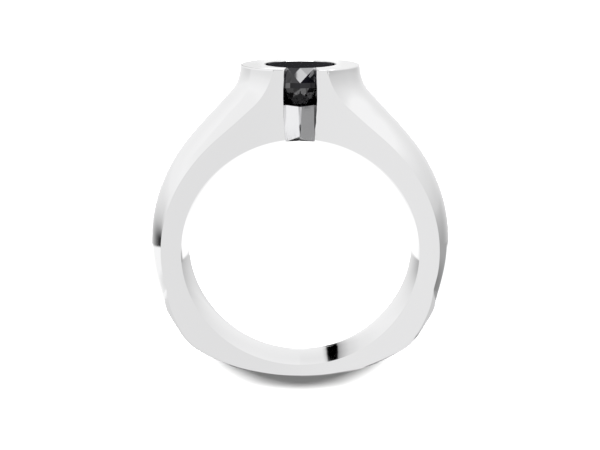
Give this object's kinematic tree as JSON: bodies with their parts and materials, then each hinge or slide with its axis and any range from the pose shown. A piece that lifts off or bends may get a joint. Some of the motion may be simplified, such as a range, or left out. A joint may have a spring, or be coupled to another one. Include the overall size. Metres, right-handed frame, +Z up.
{
  "type": "half bezel ring",
  "caption": "Wide crowned finger ring with a faceted round black stone held between two half bezels, open at the front and the back over a bridging post.",
  "frame": {"origin": "centre of the ring's outline as it lies on its side, on the ground under it", "axes": "+Z up, square to the flat side face it lies on, which is close to the finger hole's axis; +Y from the foot of the band towards the head and stone; X across the ring, a plane of symmetry at X = 0"},
  "size_m": [0.0264, 0.0282, 0.0092],
  "materials": {
    "polished_white_metal": null,
    "black_stone": "polished opaque black stone with flat facets"
  },
  "bodies": {
    "root": {"band": "polished_white_metal", "stone": "black_stone"}
  },
  "joints": []
}
